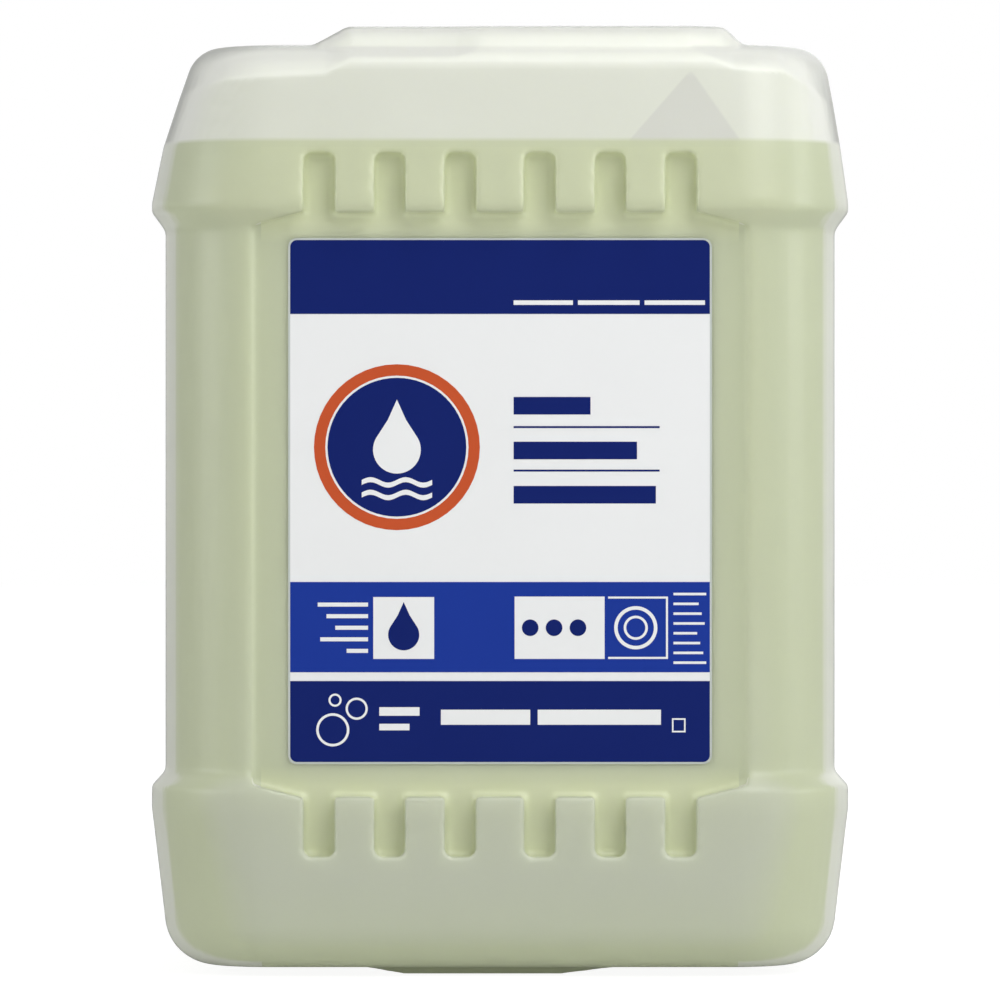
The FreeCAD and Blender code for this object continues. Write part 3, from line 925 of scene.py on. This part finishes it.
@dataclass
class FrontLabel:
    """Printed label: its sheet and bands are solids of the frame, its motifs are added here."""

    ink: float = 0.06
    corner: float = 3.5
    edge: float = 0.8
    text_left: float = 5.4
    sheet_face: float = field(init=False)
    band_face: float = field(init=False)

    def __post_init__(self) -> None:
        """Reads where the sheet and its bands face."""
        self.sheet_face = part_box("label")[0].y
        self.band_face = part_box("print_top_band")[0].y

    def build(self) -> None:
        """Dresses the sheet and its bands, and prints the motifs."""
        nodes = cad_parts
        dress(nodes["label"], PAPER)
        dress(nodes["print_top_band"], NAVY)
        dress(nodes["print_blue_band"], BLUE)
        dress(nodes["print_base_band"], NAVY)
        self.film_edge()
        self.badge()
        self.name_bars()
        self.band_marks()

    def print_on(self, name: str, outlines: list[Outline], face: float, finish: Surface) -> bpy.types.Object:
        """Lays a printed motif on the label as a thin film.

        Args:
            name: Object name.
            outlines: Outlines of the motif in millimetres.
            face: Height of the surface under it, along Y in metres.
            finish: Ink finish.

        Returns:
            The film.
        """
        mesh = bmesh.new()
        for outline in outlines:
            front = [mesh.verts.new((x * MM, face - self.ink * MM, z * MM)) for x, z in outline]
            back = [mesh.verts.new((x * MM, face, z * MM)) for x, z in outline]
            mesh.faces.new(front)
            mesh.faces.new(list(reversed(back)))
            for i, vert in enumerate(front):
                j = (i + 1) % len(front)
                mesh.faces.new((vert, back[i], back[j], front[j]))
        obj = add_mesh(name, mesh, 1.0)
        dress(obj, finish)
        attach(obj, Body.JUG.value)
        return obj

    def film_edge(self) -> None:
        """Lays the label's clear edge, and rounds the outer corners of the navy bands with it."""
        low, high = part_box("label")
        half, foot, head = high.x / MM, low.z / MM, high.z / MM
        corner, edge = self.corner, self.edge
        strips = [block(-half, -half + edge, foot + corner, head - corner),
                  block(half - edge, half, foot + corner, head - corner),
                  block(-half + corner, half - corner, foot, foot + edge),
                  block(-half + corner, half - corner, head - edge, head)]
        caps = []
        for x, z, start in ((half, head, 0.0), (-half, head, 90.0), (-half, foot, 180.0),
                            (half, foot, 270.0)):
            side, up = math.copysign(1.0, x), (1.0 if z == head else -1.0)
            middle = (x - side * corner, z - up * corner)
            strips += ring(*middle, corner, corner - edge, start, start + 90.0)
            tip = (x - side * edge, z - up * edge)
            bend = arc(*middle, corner - edge, start, start + 90.0, 8)
            caps += [[tip, two, one] for one, two in zip(bend, bend[1:])]
        self.print_on("label_edge", strips, self.sheet_face, FILM)
        self.print_on("band_corners", caps, self.band_face, FILM)

    def badge(self) -> None:
        """Prints the round badge: an orange ring, a navy disc, and a white drop over waves."""
        x, z, outer, inner = -41.0, 211.0, 33.0, 28.5
        self.print_on("badge_ring", ring(x, z, outer, inner), self.sheet_face, ORANGE)
        self.print_on("badge_disc", [arc(x, z, inner - 0.9, steps=64)], self.sheet_face, NAVY)
        top = self.sheet_face - self.ink * MM
        waves = [piece for level in (-15.0, -20.0)
                 for piece in wave(x, z + level, 28.0, 1.1, 7.0, 2.0)]
        self.print_on("badge_drop", [drop(x, z - 1.0, 9.5)] + waves, top, PAPER)

    def name_bars(self) -> None:
        """Prints the three navy bars and the two rules beside the badge."""
        left = self.text_left
        bars = [block(left, 36.0, 224.0, 231.0), block(left, 54.5, 206.2, 213.2),
                block(left, 62.0, 188.6, 195.6),
                block(left, 63.5, 218.6, 219.4), block(left, 63.5, 201.3, 202.1)]
        self.print_on("name_bars", bars, self.sheet_face, NAVY)

    def band_marks(self) -> None:
        """Prints the pale marks on the three bands."""
        marks = [block(self.text_left, 29.0, 267.6, 269.4), block(31.0, 55.5, 267.6, 269.4),
                 block(57.5, 81.5, 267.6, 269.4)]
        for row, length in enumerate((20.0, 16.5, 13.0, 19.0, 8.5)):
            z = 148.4 - row * 4.6
            marks.append(block(-52.5 - length, -52.5, z - 0.8, z + 0.8))
        marks += [block(-50.4, -26.2, 126.8, 151.4)]
        marks += [block(5.8, 41.6, 126.8, 151.6)]
        marks += ring(54.0, 139.2, 8.6, 7.2) + ring(54.0, 139.2, 4.8, 3.8)
        marks += [block(43.0, 66.8, 150.8, 151.6), block(43.0, 66.8, 126.8, 127.6),
                  block(66.0, 66.8, 127.6, 150.8)]
        for row in range(8):
            z = 152.6 - row * 3.9
            marks.append(block(69.0, 82.0 - (row * 5 % 7) * 0.6, z - 0.5, z + 0.5))
        self.print_on("blue_band_marks", marks, self.band_face, PAPER)
        top = self.band_face - self.ink * MM
        icons = [drop(-38.3, 136.4, 6.2)] + [arc(12.0 + 9.5 * i, 139.2, 3.3) for i in range(3)]
        self.print_on("blue_band_icons", icons, top, NAVY)
        base = (ring(-66.5, 98.6, 6.6, 5.6) + ring(-57.0, 107.0, 4.4, 3.5)
                + ring(-65.6, 110.4, 2.6, 1.8))
        base += [block(-48.0, -32.0, 104.2, 107.6), block(-48.0, -36.0, 98.4, 101.0)]
        base += [block(-23.5, 12.0, 100.6, 106.6), block(15.0, 64.0, 100.6, 106.6)]
        base += [block(68.4, 73.8, 97.6, 98.2), block(68.4, 73.8, 102.6, 103.2),
                 block(68.4, 69.0, 98.2, 102.6), block(73.2, 73.8, 98.2, 102.6)]
        self.print_on("base_band_marks", base, self.band_face, PAPER)


@dataclass
class Closure:
    """Screw cap, its liner, and the tamper band left on the neck."""

    def build(self) -> None:
        """Dresses the solids of the closure."""
        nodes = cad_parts
        dress(nodes["screw_cap"], CAP_WHITE)
        dress(nodes["tamper_band"], CAP_WHITE)
        dress(nodes["cap_liner"], LINER_FOAM)


@dataclass
class Studio:
    """Pale floor, white surround, soft lamps and the photograph's camera."""

    camera_height: float = 0.19
    camera_distance: float = 2.65
    frame_width: float = 0.3965
    sensor: float = 36.0
    sky: float = 0.34
    floor_glow: float = 1.22
    floor_size: float = 12.0
    floor_drop: float = 0.4 * MM
    floor_share: float = 0.75
    floor_bounce: float = 0.10
    lamps: tuple[tuple[str, tuple[float, float, float], float, float], ...] = (
        ("key_softbox", (1.05, -1.55, 1.45), 1.1, 16.0),
        ("top_softbox", (0.4, -0.7, 1.5), 0.8, 6.5),
        ("left_softbox", (-2.3, -1.0, 0.7), 1.2, 14.0),
        ("right_softbox", (2.3, -0.7, 0.7), 0.8, 11.0),
        ("back_softbox", (0.6, 2.4, 1.6), 1.8, 14.0),
    )

    def build(self) -> None:
        """Builds the floor, the surround, the lamps and the camera."""
        self.floor()
        self.surround()
        for name, spot, width, power in self.lamps:
            self.lamp(name, spot, width, power)
        self.camera()

    def floor(self) -> None:
        """Makes the floor, white to the camera and shaded by the jug."""
        mesh = bmesh.new()
        bmesh.ops.create_grid(mesh, x_segments=1, y_segments=1, size=self.floor_size)
        obj = add_mesh("studio_floor", mesh)
        obj.location.z = -self.floor_drop
        made = bpy.data.materials.new("floor_paper")
        made.use_nodes = True
        tree = made.node_tree
        shader = tree.nodes["Principled BSDF"]
        feed(shader, "Base Color", (0.9, 0.9, 0.9, 1.0))
        feed(shader, "Roughness", 0.9)
        ray = tree.nodes.new("ShaderNodeLightPath")
        glow = tree.nodes.new("ShaderNodeEmission")
        feed(glow, "Color", (1.0, 1.0, 1.0, 1.0))
        feed(glow, "Strength", self.floor_glow)
        mix = tree.nodes.new("ShaderNodeMixShader")
        feed(mix, 0, ramp(tree, ray.outputs["Is Camera Ray"], 0.0, 1.0, self.floor_bounce,
                          self.floor_share))
        feed(mix, 1, shader.outputs["BSDF"])
        feed(mix, 2, glow.outputs["Emission"])
        feed(tree.nodes["Material Output"], "Surface", mix.outputs["Shader"])
        obj.data.materials.append(made)

    def surround(self) -> None:
        """Sets the world: white where it is seen, softer where it lights."""
        world = bpy.data.worlds.new("studio_surround")
        bpy.context.scene.world = world
        world.use_nodes = True
        tree = world.node_tree
        back = tree.nodes["Background"]
        feed(back, "Color", (1.0, 1.0, 1.0, 1.0))
        ray = tree.nodes.new("ShaderNodeLightPath")
        seen = calc(tree, "MAXIMUM", ray.outputs["Is Camera Ray"], ray.outputs["Is Glossy Ray"])
        seen = calc(tree, "MAXIMUM", seen, ray.outputs["Is Transmission Ray"])
        feed(back, "Strength", ramp(tree, seen, 0.0, 1.0, self.sky, 1.0))

    def lamp(self, name: str, spot: tuple[float, float, float], width: float,
             power: float) -> None:
        """Adds a square soft lamp aimed at the jug's middle.

        Args:
            name: Lamp name.
            spot: Place in metres.
            width: Side of the square in metres.
            power: Power in watts.
        """
        data = bpy.data.lights.new(name, "AREA")
        data.size = width
        data.energy = power
        obj = bpy.data.objects.new(name, data)
        obj.location = spot
        aim = Vector((0.0, 0.0, self.camera_height)) - Vector(spot)
        obj.rotation_euler = aim.to_track_quat("-Z", "Y").to_euler()
        bpy.context.scene.collection.objects.link(obj)

    def camera(self) -> None:
        """Places the camera level with the middle of the jug, square to its front."""
        data = bpy.data.cameras.new("photo_camera")
        data.sensor_width = self.sensor
        data.lens = self.sensor * self.camera_distance / self.frame_width
        data.clip_end = 50.0
        obj = bpy.data.objects.new("photo_camera", data)
        front = CAD_BOX[0][1]
        obj.matrix_world = (Matrix.Translation((0.0, front - self.camera_distance,
                                                self.camera_height))
                            @ Matrix.Rotation(math.radians(90.0), 4, "X"))
        bpy.context.scene.collection.objects.link(obj)
        bpy.context.scene.camera = obj


def main() -> None:
    """Builds every sub-assembly in order."""
    logging.basicConfig(level=logging.INFO, format="%(message)s")
    bpy.context.scene.view_settings.view_transform = "Standard"
    for maker in (Jug(), FrontLabel(), Closure(), Studio()):
        maker.build()
        log.info("built %s", type(maker).__name__)


if __name__ == "__main__":
    main()
